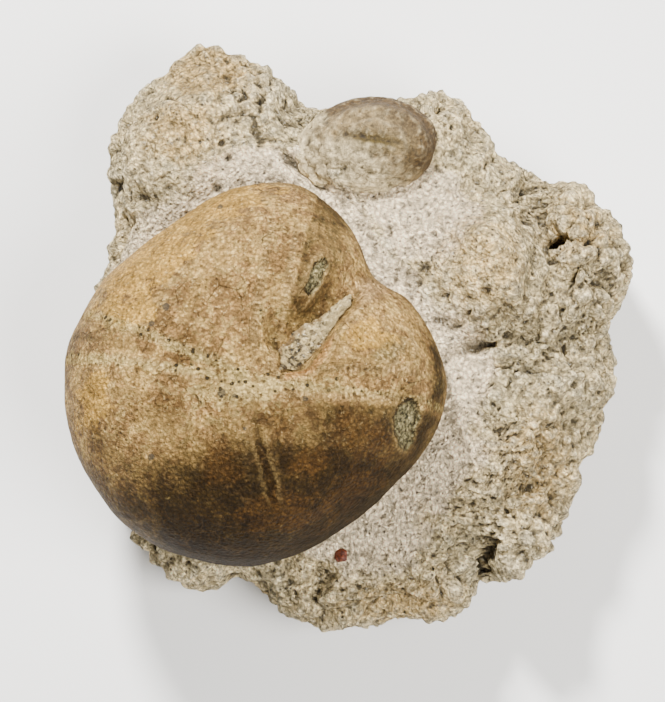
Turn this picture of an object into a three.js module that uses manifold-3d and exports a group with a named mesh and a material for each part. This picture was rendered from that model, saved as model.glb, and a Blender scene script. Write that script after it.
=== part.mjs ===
// A heart urchin fossil, lying mouth down in a hand-sized lump of pale limestone. A second, smaller fossil
// is half buried beside it, a crust of the same stone is left in the urchin's front groove, and one
// rust-red iron grain sits in the stone. Millimetres, +Z up, resting on the flat underside at Z = 0.
import * as THREE from "three";
import { mergeVertices } from "three/addons/utils/BufferGeometryUtils.js";
import Module from "manifold-3d";

const wasm = await Module();
wasm.setup();

// ---- Driving dimensions, in millimetres ----
const GAP = 0.3; // clearance between each piece and the socket it sits in
const RIM_HEIGHT = 10.4; // height of the stone's widest line above its underside
const ROOT_DEPTH = 12.8; // how far the stone's rounded foot would reach below that line if it were not flat
const TOP_LEVEL = 21.6; // height of the stone's top where it is plain
const TOP_SLOPE = 0.07; // rise of that top per millimetre towards +Y
const EDGE_ROUNDING = 0.58; // 1 gives the stone an elliptical edge, towards 0 a square one
// The round plan that the foot's outline draws in to, and how nearly it reaches it.
const FOOT = { radius: 30, share: 0.55 };
const LUMP = { size: 7.2, depth: 1.4 }; // the stone's own unevenness

const TEST = { at: [-9, -3.9], equator: 24.8, dome: 15.2, belly: 12, roundness: 0.88 };
const APEX = [1.6, -4]; // the top of the test, from its centre
const FRONT = THREE.MathUtils.degToRad(47); // the way the groove and the notch point
const GROOVE = { from: [2.1, -2.7], to: [16, 12.5], width: 5.6, depth: 6, height: 37, drop: 0.55 };
// The crust's width, its length as a share of the groove's, and how low it lies in the groove.
const CRUST = { width: 4.6, share: 0.88, fall: 6.8 };
const PETAL = { sink: 0.6, halfWidth: 2.5 };
// Where each of the four sunken bands meets the edge, as a turn from the front, and its length.
const PETALS = [
  { turn: 39, length: 20 },
  { turn: -47, length: 20 },
  { turn: 119, length: 16 },
  { turn: -127, length: 16 },
];
const COMPANION = { at: [3.9, 23.6, 21.3], reach: [8.8, 6, 6.2], turn: 6, lean: -10 };
const GRAIN = { at: [1.1, -24.6], reach: [0.9, 0.8, 0.6], sunk: 0.9 };

// The stone's outline at its widest line, anticlockwise from the right.
const STONE_OUTLINE = [
  [36.8, 11.2], [35.6, 16.8], [32.8, 19.6], [29.6, 21.6], [25.2, 23.6], [21.6, 25.2], [19.2, 28.8],
  [17.2, 32], [13.6, 34], [10, 32.6], [4.8, 32], [-1.2, 32.2], [-5.6, 34.4], [-8.8, 36.4], [-11.6, 38.8],
  [-15.6, 40], [-18.8, 38.4], [-23.2, 33.6], [-26, 30], [-28, 26.4], [-28, 22.4], [-27, 16],
  [-28.4, 10.4], [-28.8, 2.4], [-27.6, -6.4], [-26.8, -15.2], [-24, -22.4], [-20.8, -26], [-17.2, -28.4],
  [-13.4, -29.2], [-9.8, -29.8], [-6.4, -31.6], [-2.4, -33.6], [3.2, -33.6], [8.8, -32.8], [14.4, -31.6],
  [18.6, -29.6], [22.4, -27.6], [25.6, -24.4], [27.6, -19.6], [30, -14], [32.8, -7.2], [34.8, 0], [36, 6],
];
// Low mounds and hollows on the stone's top: place, reach each way, turn in degrees, and rise.
const MOUNDS = [
  { at: [18.8, 8.8], reach: [7.2, 8.8], turn: 15, rise: 6.4 },
  { at: [30.4, 11.2], reach: [4.8, 7.2], turn: 0, rise: 3.2 },
  { at: [-16, 28], reach: [10.4, 8], turn: 20, rise: 2.8 },
  { at: [13.2, 28.4], reach: [4, 4], turn: 0, rise: 2 },
  { at: [23.2, -23.2], reach: [4.8, 4], turn: 0, rise: 1.6 },
  { at: [24, -6.4], reach: [6.4, 9.6], turn: -15, rise: 2.4 },
  { at: [-1.6, -28.8], reach: [9.6, 5.6], turn: 0, rise: -2 },
];
// The test's outline at its widest line, from its centre, anticlockwise from the right.
const TEST_OUTLINE = [
  [22.2, -2.6], [21.8, 0.5], [20.9, 3.7], [19.4, 6.6], [17.4, 9], [15.5, 10.4], [13.8, 12], [13, 13.8],
  [11.8, 16.4], [9.3, 19.3], [5.5, 21.8], [1.6, 22.4], [-3.3, 21.4], [-7, 19.3], [-10.8, 16.7],
  [-14.6, 13.6], [-17.4, 11], [-19.8, 7.5], [-21.6, 3.7], [-22.2, -0.1], [-21.1, -8.4], [-18.6, -13.1],
  [-15.4, -17.3], [-11.8, -19.8], [-7.6, -21.6], [-2.6, -22.4], [2.4, -21.9], [6.2, -20.5], [9.9, -18.2],
  [13.7, -15.4], [16.5, -12.6], [19.4, -9.4], [21.5, -5.8],
];

// ---- Shared maths ----
const OUTLINE_STEPS = 720;

// The distance from a centre to a closed outline, as a function of the direction's angle.
function radiusAround(outline, [cx, cy]) {
  const corners = outline.map(([x, y]) => new THREE.Vector3(x - cx, y - cy, 0));
  const path = new THREE.CatmullRomCurve3(corners, true, "centripetal").getPoints(OUTLINE_STEPS);
  const polar = path.map((p) => [Math.atan2(p.y, p.x), Math.hypot(p.x, p.y)]).sort((a, b) => a[0] - b[0]);
  return (angle) => {
    const next = polar.findIndex(([a]) => a > angle);
    if (next <= 0) return polar[0][1];
    const [a0, r0] = polar[next - 1];
    const [a1, r1] = polar[next];
    return THREE.MathUtils.lerp(r0, r1, (angle - a0) / Math.max(a1 - a0, 1e-9));
  };
}

// Smooth noise from -1 to 1, the same every time: values on a unit lattice, blended between its corners.
function latticeValue(i, j, k) {
  const wave = Math.sin(i * 127.1 + j * 311.7 + k * 74.7) * 43758.5453;
  return 2 * (wave - Math.floor(wave)) - 1;
}

function noise(x, y, z) {
  const [i, j, k] = [x, y, z].map(Math.floor);
  const [u, v, w] = [x - i, y - j, z - k].map((t) => t * t * (3 - 2 * t));
  const mix = THREE.MathUtils.lerp;
  const row = (b, c) => mix(latticeValue(i, j + b, k + c), latticeValue(i + 1, j + b, k + c), u);
  return mix(mix(row(0, 0), row(1, 0), v), mix(row(0, 1), row(1, 1), v), w);
}

const bell = (t) => Math.exp(-t * t);

// A signed power, which squares up or rounds off an ellipse.
const power = (value, exponent) => Math.sign(value) * Math.abs(value) ** exponent;

// A closed body of small triangles, each corner moved by place(direction).
function moulded(detail, place) {
  const geometry = new THREE.IcosahedronGeometry(1, detail);
  const corner = geometry.getAttribute("position");
  for (let i = 0; i < corner.count; i++) {
    const moved = place(new THREE.Vector3().fromBufferAttribute(corner, i).normalize());
    corner.setXYZ(i, moved.x, moved.y, moved.z);
  }
  return geometry;
}

function solidOf(geometry) {
  const bare = geometry.clone();
  bare.deleteAttribute("normal");
  bare.deleteAttribute("uv");
  const merged = mergeVertices(bare, 1e-4);
  return new wasm.Manifold(new wasm.Mesh({
    numProp: 3,
    vertProperties: new Float32Array(merged.getAttribute("position").array),
    triVerts: new Uint32Array(merged.index.array),
  }));
}

function geometryOf(solid) {
  const { vertProperties, triVerts } = solid.getMesh();
  const geometry = new THREE.BufferGeometry();
  geometry.setAttribute("position", new THREE.BufferAttribute(new Float32Array(vertProperties), 3));
  geometry.setIndex(new THREE.BufferAttribute(new Uint32Array(triVerts), 1));
  geometry.computeVertexNormals();
  return geometry;
}

function piece(name, solid, { color, roughness }) {
  const material = new THREE.MeshStandardMaterial({ color, roughness, metalness: 0, flatShading: true });
  const mesh = new THREE.Mesh(geometryOf(solid), material);
  mesh.name = name;
  return mesh;
}

// ---- The stone ----
const STONE_CENTRE = [3.2, 1.6];
const stoneRadius = radiusAround(STONE_OUTLINE, STONE_CENTRE);

function moundHeight(x, y) {
  return MOUNDS.reduce((height, { at, reach, turn, rise }) => {
    const angle = THREE.MathUtils.degToRad(turn);
    const [dx, dy] = [x - at[0], y - at[1]];
    const along = (dx * Math.cos(angle) + dy * Math.sin(angle)) / reach[0];
    const across = (dy * Math.cos(angle) - dx * Math.sin(angle)) / reach[1];
    return height + rise * bell(Math.hypot(along, across));
  }, 0);
}

const stoneTop = (x, y) => TOP_LEVEL + TOP_SLOPE * y + moundHeight(x, y);

function stonePoint(direction) {
  const rise = direction.z;
  const out = Math.sqrt(Math.max(0, 1 - rise * rise));
  const angle = Math.atan2(direction.y, direction.x);
  const drawnIn = FOOT.share * Math.max(0, -rise);
  const radius = THREE.MathUtils.lerp(stoneRadius(angle), FOOT.radius, drawnIn);
  const reach = radius * power(out, EDGE_ROUNDING);
  const x = STONE_CENTRE[0] + reach * Math.cos(angle);
  const y = STONE_CENTRE[1] + reach * Math.sin(angle);
  const height = rise > 0 ? stoneTop(x, y) - RIM_HEIGHT : ROOT_DEPTH;
  const point = new THREE.Vector3(x, y, RIM_HEIGHT + height * power(rise, EDGE_ROUNDING));
  const { x: px, y: py, z: pz } = point.clone().divideScalar(LUMP.size);
  const unevenness = noise(px, py, pz) + 0.5 * noise(2 * px, 2 * py, 2 * pz);
  return point.addScaledVector(direction, LUMP.depth * unevenness);
}

// Everything above the resting plane.
function aboveFloor() {
  const side = 200;
  const slab = new THREE.BoxGeometry(side, side, side).translate(0, 0, side / 2);
  return solidOf(slab);
}

// ---- The urchin's test ----
const testRadius = radiusAround(TEST_OUTLINE, [0, 0]);

// How deep the four petals sink the test's skin, at a place measured from its centre.
function petalSink(x, y) {
  const [dx, dy] = [x - APEX[0], y - APEX[1]];
  return PETALS.reduce((sink, { turn, length }) => {
    const angle = FRONT + THREE.MathUtils.degToRad(turn);
    const along = dx * Math.cos(angle) + dy * Math.sin(angle);
    const across = dy * Math.cos(angle) - dx * Math.sin(angle);
    if (along < 0) return sink;
    return sink + PETAL.sink * bell(across / PETAL.halfWidth) * bell((along - length / 2) / (length / 2));
  }, 0);
}

// A point of the test's skin, grown outwards by grow to shape the socket that holds it.
function testPoint(direction, grow) {
  const rise = direction.z;
  const out = Math.sqrt(Math.max(0, 1 - rise * rise));
  const angle = Math.atan2(direction.y, direction.x);
  const reach = (testRadius(angle) + grow) * power(out, TEST.roundness);
  // The top of the dome leans over to the apex, and the widest line stays where it is.
  const lean = rise > 0 ? 1 - power(out, TEST.roundness) : 0;
  const x = reach * Math.cos(angle) + APEX[0] * lean;
  const y = reach * Math.sin(angle) + APEX[1] * lean;
  const height = (rise > 0 ? TEST.dome : TEST.belly) + grow;
  const sink = rise > 0 ? petalSink(x, y) : 0;
  return new THREE.Vector3(
    TEST.at[0] + x, TEST.at[1] + y, TEST.equator + height * power(rise, TEST.roundness) - sink * rise);
}

// The front groove: a long hollow with round ends, deepest near the apex, running down to the notch.
function grooveBody(share, width, fall) {
  const from = new THREE.Vector2(...GROOVE.from);
  const to = new THREE.Vector2(...GROOVE.to);
  const middle = from.clone().add(to).multiplyScalar(0.5);
  const run = to.clone().sub(from);
  const body = new THREE.SphereGeometry(1, 24, 16);
  body.scale((run.length() / 2) * share, width / 2, GROOVE.depth * share);
  body.rotateY(GROOVE.drop);
  body.rotateZ(run.angle());
  body.translate(TEST.at[0] + middle.x, TEST.at[1] + middle.y, GROOVE.height - fall);
  return solidOf(body);
}

// The crust left in the groove: the groove's own hollow, a little smaller, filled to a low level.
function crustBody() {
  const inside = grooveBody(CRUST.share, CRUST.width, 0);
  return inside.intersect(grooveBody(CRUST.share, CRUST.width, CRUST.fall));
}

// ---- The smaller fossil and the grain ----
function pebble({ at, reach, turn = 0, lean = 0 }, detail, grow) {
  const body = moulded(detail, (direction) => direction.clone());
  body.scale(reach[0] + grow, reach[1] + grow, reach[2] + grow);
  body.rotateY(THREE.MathUtils.degToRad(lean));
  body.rotateZ(THREE.MathUtils.degToRad(turn));
  body.translate(...at);
  return solidOf(body);
}

// ---- The pieces together ----
const grain = { ...GRAIN, at: [...GRAIN.at, stoneTop(...GRAIN.at) - GRAIN.sunk] };

const stone = solidOf(moulded(12, stonePoint))
  .intersect(aboveFloor())
  .subtract(solidOf(moulded(9, (direction) => testPoint(direction, GAP))))
  .subtract(pebble(COMPANION, 5, GAP))
  .subtract(pebble(grain, 1, GAP));

const test = solidOf(moulded(11, (direction) => testPoint(direction, 0)))
  .subtract(grooveBody(1, GROOVE.width, 0));

const group = new THREE.Group();
group.add(piece("matrix_stone", stone, { color: 0xcfc6b4, roughness: 0.95 }));
group.add(piece("urchin_test", test, { color: 0xa07c4c, roughness: 0.75 }));
group.add(piece("groove_crust", crustBody(), { color: 0xc9c2b6, roughness: 0.95 }));
group.add(piece("companion_fossil", pebble(COMPANION, 5, 0), { color: 0x9a866c, roughness: 0.8 }));
group.add(piece("rust_grain", pebble(grain, 1, 0), { color: 0x5e2416, roughness: 0.6 }));

// The origin is the middle of the resting plane, under the middle of the whole piece.
const box = new THREE.Box3().setFromObject(group);
const middle = box.getCenter(new THREE.Vector3());
group.position.set(-middle.x, -middle.y, -box.min.z);

export default group;
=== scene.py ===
"""A fossil heart urchin in its lump of chalky limestone, with a smaller fossil and a rust grain."""

import math

import bmesh
import bpy
import numpy as np
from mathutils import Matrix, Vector, noise


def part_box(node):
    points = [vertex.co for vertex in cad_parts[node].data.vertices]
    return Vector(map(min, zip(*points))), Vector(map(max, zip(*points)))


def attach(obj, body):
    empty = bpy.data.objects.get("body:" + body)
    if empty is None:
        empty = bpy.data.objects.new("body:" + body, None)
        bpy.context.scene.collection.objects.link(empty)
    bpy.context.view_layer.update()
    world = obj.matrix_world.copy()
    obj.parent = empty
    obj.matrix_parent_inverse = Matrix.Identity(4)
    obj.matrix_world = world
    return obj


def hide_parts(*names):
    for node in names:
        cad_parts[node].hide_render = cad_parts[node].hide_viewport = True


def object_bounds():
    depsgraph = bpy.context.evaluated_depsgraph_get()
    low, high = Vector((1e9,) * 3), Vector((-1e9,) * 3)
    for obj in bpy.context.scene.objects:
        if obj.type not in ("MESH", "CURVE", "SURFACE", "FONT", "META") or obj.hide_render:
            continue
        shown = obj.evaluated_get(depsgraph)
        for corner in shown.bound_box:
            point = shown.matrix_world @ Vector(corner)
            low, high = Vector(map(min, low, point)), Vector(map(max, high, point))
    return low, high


bl_info = {
    "name": "Fossil Sea Urchin",
    "version": (1, 0, 0),
    "blender": (4, 5, 0),
    "location": "3D View > Sidebar > Fossil",
    "description": "Models a heart urchin fossil in its stone",
    "category": "Add Mesh",
}

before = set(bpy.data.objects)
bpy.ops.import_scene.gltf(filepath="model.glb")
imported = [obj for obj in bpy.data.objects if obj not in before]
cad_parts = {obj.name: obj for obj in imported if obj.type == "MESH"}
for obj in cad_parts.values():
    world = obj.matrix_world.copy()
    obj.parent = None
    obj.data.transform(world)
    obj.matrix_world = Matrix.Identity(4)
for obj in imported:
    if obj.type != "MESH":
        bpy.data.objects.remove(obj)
FRAME_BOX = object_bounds()

# ---- The frame's own measures ----
# Everything below is drawn in millimetres about a point on the resting plane, and is brought into the
# frame by the place and the width of the urchin's test.
TEST_LOW, TEST_HIGH = (np.array(corner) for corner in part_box("urchin_test"))
DRAWN_TEST = {"low": (-31.2, -26.3), "width": 44.4}  # the test's near left corner and width
UNIT = (TEST_HIGH[0] - TEST_LOW[0]) / DRAWN_TEST["width"]
ORIGIN = np.array([
    TEST_LOW[0] - DRAWN_TEST["low"][0] * UNIT,
    TEST_LOW[1] - DRAWN_TEST["low"][1] * UNIT,
    FRAME_BOX[0][2],
])


def to_frame(places):
    """Drawn millimetres to metres in the frame."""
    return ORIGIN + np.asarray(places, float) * UNIT


# ---- Outlines and places, in drawn millimetres ----
STONE_CENTRE = (3.2, 1.6)
STONE_OUTLINE = [
    (35.9, 6.4), (36.2, 11.2), (35.8, 15.8), (33.2, 19.2), (31.4, 20.6), (28.8, 22.2), (26, 22.8),
    (23.6, 24.2), (20.8, 25.2), (19, 28.2), (16.6, 30.8), (14.8, 32.8), (12.6, 33.6), (10, 32.4),
    (4.8, 31.4), (-0.8, 31), (-3.6, 32.2), (-6.4, 33.2), (-8.8, 36.4), (-12, 38.2),
    (-15.4, 38.6), (-18.8, 37.8), (-21.6, 35.6), (-24, 32.6), (-27, 29.6), (-28.6, 26.6), (-28, 22.8),
    (-27, 19.4), (-27.4, 15.4),
    (-28.9, 10.6), (-28.8, 2.4), (-27.6, -6.4), (-26.8, -15.2), (-24.2, -21.4), (-21.4, -25.2),
    (-18.2, -27.8), (-15, -27.8), (-12, -26.4), (-9, -27), (-6.8, -30), (-4.2, -31.8), (1.0, -33.5),
    (5.0, -31.6), (9, -31.2), (13.8, -31), (16.6, -29), (18.8, -27), (21.6, -27.4), (25, -25.4),
    (26.6, -22.4), (28.6, -19), (30.6, -14), (32.6, -8.4), (33.9, -3.4), (34.3, 0), (35.1, 3.4),
]
TEST_CENTRE = (-9.0, -3.9)
TEST_OUTLINE = [
    (22.2, -2.6), (21.9, 0.5), (21, 3.7), (19.4, 6.6), (17.4, 8.8), (15.4, 9.9), (13.9, 11), (13.1, 13),
    (11.8, 16.4), (9.3, 19.4), (5.5, 21.8), (1.6, 22.4), (-3.3, 21.4), (-7, 19.3), (-10.8, 16.7),
    (-14.6, 13.6), (-17.4, 11), (-19.8, 7.5), (-21.6, 3.7), (-22.2, -0.1), (-21.1, -8.4), (-18.6, -13.1),
    (-15.4, -17.3), (-11.8, -19.8), (-7.6, -21.6), (-2.6, -22.4), (2.4, -21.9), (6.2, -20.5), (9.9, -18.2),
    (13.7, -15.4), (16.5, -12.6), (19.4, -9.4), (21.5, -5.8),
]
APEX = (0.9, -3.6)  # the middle of the petals, from the test's centre

# The vector noise takes its offsets from a seed that the clock sets, unless one is given.
STRAY_SEED = 1


def ease(low, high, value):
    """0 below low, 1 above high, smooth between."""
    t = np.clip((np.asarray(value, float) - low) / (high - low), 0, 1)
    return t * t * (3 - 2 * t)


def bell(t):
    """1 at 0, fading smoothly to nothing by about 2 on either side."""
    return np.exp(-np.square(t))


def bearing_radius(outline, centre, softness):
    """The radius of a closed outline about a centre, as a smooth function of the bearing."""
    points = np.array(outline, float) - centre
    bearings = np.arctan2(points[:, 1], points[:, 0])
    reach = np.hypot(points[:, 0], points[:, 1])
    turn = np.linspace(-math.pi, math.pi, 1440, endpoint=False)  # every quarter of a degree
    radius = np.interp(turn, bearings, reach, period=2 * math.pi)
    tail = 30
    kernel = bell(np.arange(-tail, tail + 1) / 4 / softness)
    radius = np.convolve(np.pad(radius, tail, mode="wrap"), kernel / kernel.sum(), mode="valid")
    return lambda angle: np.interp(angle, turn, radius, period=2 * math.pi)


stone_radius = bearing_radius(STONE_OUTLINE, STONE_CENTRE, 1.6)
test_radius = bearing_radius(TEST_OUTLINE, (0, 0), 3.0)


def along_across(x, y, at, degrees):
    """A place as its distance along and across a line from at, turned by degrees."""
    angle = math.radians(degrees)
    dx, dy = x - at[0], y - at[1]
    return dx * math.cos(angle) + dy * math.sin(angle), dy * math.cos(angle) - dx * math.sin(angle)


def from_centre(places, centre):
    """How far places lie to the right of a centre, and beyond it."""
    return places[:, 0] - centre[0], places[:, 1] - centre[1]


def patch(x, y, at, reach, degrees=0):
    """How far a place is from the middle of an oval, 1 at its edge."""
    along, across = along_across(x, y, at, degrees)
    return np.hypot(along / reach[0], across / reach[1])


def sampled(places, rule):
    """A noise rule at every place, as an array."""
    return np.array([rule(Vector(place)) for place in places])


def ripple(places, size, octaves=3, seed=0.0):
    """Fractal noise about 0, with lumps of that size."""
    return sampled(places / size + seed, lambda p: noise.fractal(p, 0.9, 2.0, octaves))


def crests(places, size, octaves=4, seed=0.0):
    """Sharp winding crests of that size, mostly from 0 in the hollows to 1 on the crests."""
    return sampled(places / size + seed,
                   lambda p: 0.4 * noise.ridged_multi_fractal(p, 0.9, 2.1, octaves, 1.0, 2.0))


def ledges(places, size, seed=0.0):
    """Broken ledges about 0, like the edges of thin layers, with treads of that size."""
    layers = 2.6
    climb = layers * ripple(places, size, 3, seed)
    tread = np.floor(climb)
    return (tread + ease(0.3, 0.7, climb - tread)) / layers


def stray(places, size, reach):
    """Places shifted about by noise of that size, so that a pattern on them runs unevenly."""
    noise.seed_set(STRAY_SEED)
    return places + reach * sampled(places / size, lambda p: noise.noise_vector(p)[:])


def cobbles(places, size, seed=0.0):
    """Rounded grains packed together: 0 in the creases between them, 1 on their crowns."""
    return sampled(places / size + seed, lambda p: max(0.0, 1 - 1.5 * noise.voronoi(p)[0][0] ** 2))


# ---- Making meshes ----

def moulding_ball(cuts):
    """A closed ball of even squares, as a bmesh, for a piece to be moulded from."""
    bm = bmesh.new()
    bmesh.ops.create_cube(bm, size=2.0)
    bmesh.ops.subdivide_edges(bm, edges=bm.edges[:], cuts=cuts, use_grid_fill=True)
    for v in bm.verts:
        v.co = Vector(math.tan(c * math.pi / 4) for c in v.co)
        v.co.normalize()
    return bm


def moulded(cuts, form, relief=None):
    """A ball moulded to a form, with a relief raised along its normals, as a bmesh."""
    bm = moulding_ball(cuts)
    plain = form(np.array([v.co[:] for v in bm.verts]))
    for v, place in zip(bm.verts, plain):
        v.co = place
    bm.normal_update()
    if relief:
        for v, height in zip(bm.verts, relief(plain)):
            v.co += v.normal * float(height)
        bm.normal_update()
    return bm


def loose_body(name, bm):
    """Brings a drawn bmesh into the frame as a smooth object."""
    for v in bm.verts:
        v.co = to_frame(v.co)
    bmesh.ops.recalc_face_normals(bm, faces=bm.faces[:])
    for face in bm.faces:
        face.smooth = True
    mesh = bpy.data.meshes.new(name)
    bm.to_mesh(mesh)
    bm.free()
    body = bpy.data.objects.new(name, mesh)
    bpy.context.scene.collection.objects.link(body)
    return body


def stand_for(piece, node, material):
    """Gives a piece its material, and puts it in its CAD node's place."""
    piece.data.materials.clear()
    piece.data.materials.append(material)
    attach(piece, "root")
    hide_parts(node)


def cut_sockets(piece, cutters):
    """Cuts closed bodies out of a piece, and removes them."""
    for cutter in cutters:
        socket = piece.modifiers.new("socket", "BOOLEAN")
        socket.operation = "DIFFERENCE"
        socket.solver = "MANIFOLD"
        socket.object = cutter
    solid = piece.evaluated_get(bpy.context.evaluated_depsgraph_get())
    rough = piece.data
    piece.modifiers.clear()
    piece.data = bpy.data.meshes.new_from_object(solid)
    piece.data.name = piece.name
    bpy.data.meshes.remove(rough)
    for cutter in cutters:
        bpy.data.meshes.remove(cutter.data)


def skin_of(piece, rounds=6):
    """A piece's drawn places and how hollow its skin is there: above 0 in hollows, below 0 on crowns.

    More rounds of smoothing find wider hollows.
    """
    mesh = piece.data
    count = len(mesh.vertices)
    places = np.empty(count * 3, np.float32)
    normals = np.empty(count * 3, np.float32)
    ends = np.empty(len(mesh.edges) * 2, np.int32)
    mesh.vertices.foreach_get("co", places)
    mesh.vertex_normals.foreach_get("vector", normals)
    mesh.edges.foreach_get("vertices", ends)
    places = (places.reshape(-1, 3) - ORIGIN) / UNIT
    a, b = ends.reshape(-1, 2).T
    share = np.maximum(np.bincount(np.r_[a, b], minlength=count), 1)[:, None]
    smooth = places.copy()
    for _ in range(rounds):
        total = [np.bincount(a, smooth[b, i], count) + np.bincount(b, smooth[a, i], count)
                 for i in range(3)]
        smooth = 0.3 * smooth + 0.7 * np.array(total).T / share
    return places, ((smooth - places) * normals.reshape(-1, 3)).sum(axis=1)


def mark_skin(piece, marks):
    """Stores values on a piece's vertices for its material to read."""
    for mark, values in marks.items():
        wide = np.ndim(values) == 2
        layer = piece.data.attributes.new(mark, "FLOAT_VECTOR" if wide else "FLOAT", "POINT")
        layer.data.foreach_set("vector" if wide else "value", np.ravel(values).astype(np.float32))


# ---- The stone ----
STONE = {"rim": 10.4, "root": 12.8, "top": 21.6, "slope": 0.07, "edge": 0.58, "foot": 30.0, "inset": 0.6,
         "gather": 1.55, "draw_in": 0.55}
# How far each socket lies inside the fossil that fills it.
TEST_SOCKET = 0.06
COMPANION_SOCKET = 0.25
# Mounds and hollows of the stone's top: place, reach each way, turn in degrees, rise.
STONE_MOUNDS = [
    ((18.6, 9.8), (5.4, 6.8), 12, 7.6),
    ((21.8, 3.6), (3.6, 2.6), -20, 2.6),
    ((25.0, 14.0), (1.9, 8), 12, -4.4),
    ((18.5, 0.6), (6.5, 1.4), 22, -2.2),
    ((30.2, 12), (4.4, 7.6), 0, 4.6),
    ((27.4, 12.4), (1.5, 0.6), -10, -2.6),
    ((29.0, 9.0), (2.6, 2.2), 30, 1.6),
    ((32.0, 4.4), (2.6, 2.8), 0, 1.6),
    ((21.0, -2.2), (8.5, 2.4), 14, -1.7),
    ((-18, 27), (9, 7), 25, 2.4),
    ((-19, 29.6), (6.5, 1.6), 4, 1.2),
    ((-12, 36), (6, 3), -40, 1.6),
    ((-6.6, 31), (3.4, 2.2), -50, 1.5),
    ((-24.5, 21.5), (2.4, 4.4), 0, 1.6),
    ((13.2, 30.4), (3.4, 3.2), 0, 2.8),
    ((24.4, -23.2), (4.2, 3.5), 0, 4.4),
    ((17.8, -26.0), (2.4, 4.0), 10, -6.4),
    ((24, -8.5), (6.4, 7.6), -15, 2.4),
    ((20.5, -13.5), (4.6, 3.4), 20, 1.8),
    ((27.5, -4), (4, 2.4), 10, 1.6),
    ((11.6, -27.5), (4.2, 2.6), 12, 1.6),
    ((2, -29.5), (5, 2.4), 0, 1.2),
    ((-1.6, -27), (9.6, 4), 0, -1.6),
    ((-0.8, 21.2), (4.8, 1.5), -38, 2.6),
    ((-2.8, 20.4), (3.8, 0.45), -38, -1.5),
    ((-4.2, 19.4), (4.2, 1.2), -38, 0.9),
]
# Small deep pits: place, radius, depth.
STONE_PITS = [
    ((26.9, 12.3), 0.6, 1.6), ((-13.6, 19), 0.5, 0.8), ((-12.4, 22.6), 0.6, 0.9),
    ((-13.2, 24.2), 0.5, 0.7), ((-21, 27.5), 0.9, 0.9), ((17.6, -25.4), 1.3, 3.4), ((24, 1.4), 0.8, 1.0),
]
# Chalky, smoother ground: place, reach each way, turn in degrees.
CHALK_GROUND = [
    ((10, 16), (9, 7), -20), ((4, -25), (9, 4.2), 20), ((13, -13), (5, 7), -35), ((-9, 21.5), (7, 3), 10),
    ((16, -2), (4, 5), 20),
]
# Where the stone is a heap of rounded grains, where it breaks in thin flakes, and where it is calm and
# only pitted: place, reach each way.
GRAINY_GROUND = [
    ((-8.5, 31.5), (4.2, 5.2)), ((31, 6), (4.5, 10)), ((24.5, -23), (4.4, 3.6)), ((15, -27), (6, 3)),
    ((14, 31), (3, 3)), ((-24, -24), (5, 4)),
]
FLAKY_GROUND = [((21, -1.5), (7, 3.4)), ((20, -18), (8, 9)), ((6, -30), (9, 3.2)), ((24, 20), (5, 4))]
CALM_GROUND = [((-18.5, 25.5), (8.5, 9)), ((18.4, 10), (6.6, 7.4)), ((-19.5, 33.5), (5.5, 5))]
# Where the stone is stained like tea: place, reach each way, strength.
TEA_STAINS = [
    ((-15, 34), (5, 4), 1.0), ((-18, 26), (6, 5), 0.6), ((18, 9), (6, 7), 0.5),
    ((30, 14), (5, 5), 0.5), ((24, -14), (6, 8), 0.5), ((8, -30), (9, 3), 0.5),
]


def stone_top(x, y):
    """The height of the stone's top over a place."""
    level = STONE["top"] + STONE["slope"] * y
    for at, reach, turn, rise in STONE_MOUNDS:
        level = level + rise * bell(patch(x, y, at, reach, turn))
    for at, radius, depth in STONE_PITS:
        level = level - depth * bell(patch(x, y, at, (radius, radius)))
    return level


def stone_places(directions):
    """The stone's plain form, from directions that are first drawn towards its top and underside."""
    directions = directions * (1, 1, STONE["gather"])
    directions = directions / np.linalg.norm(directions, axis=1)[:, None]
    rise = directions[:, 2]
    out = np.sqrt(np.maximum(0, 1 - rise * rise))
    angle = np.arctan2(directions[:, 1], directions[:, 0])
    drawn_in = STONE["draw_in"] * np.maximum(0, -rise)
    radius = (stone_radius(angle) - STONE["inset"]) * (1 - drawn_in) + STONE["foot"] * drawn_in
    reach = radius * out ** STONE["edge"]
    x = STONE_CENTRE[0] + reach * np.cos(angle)
    y = STONE_CENTRE[1] + reach * np.sin(angle)
    height = np.where(rise > 0, stone_top(x, y) - STONE["rim"], STONE["root"])
    z = STONE["rim"] + height * np.sign(rise) * np.abs(rise) ** STONE["edge"]
    return np.stack([x, y, z], axis=1)


def chalkiness(places):
    """How smooth and chalky the stone is: 1 beside the fossils, 0 on its rough far parts."""
    x, y = places[:, 0], places[:, 1]
    dx, dy = from_centre(places, TEST_CENTRE)
    gap = np.hypot(dx, dy) - test_radius(np.arctan2(dy, dx))
    wander = ripple(places, 5.0, 3, seed=3.7)
    chalk = 1 - ease(1.5, 6.5, gap + 2.2 * wander)
    for at, reach, turn in CHALK_GROUND:
        chalk = np.maximum(chalk, 1 - ease(0.55, 1.15, patch(x, y, at, reach, turn) + 0.35 * wander))
    return chalk * ease(15.5, 19, places[:, 2])


def lying_on(ground, x, y, wander):
    """1 well inside any of those ovals, 0 well outside them."""
    inside = [1 - ease(0.6, 1.2, patch(x, y, at, reach) + 0.3 * wander) for at, reach in ground]
    return np.max(inside, axis=0)


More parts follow.
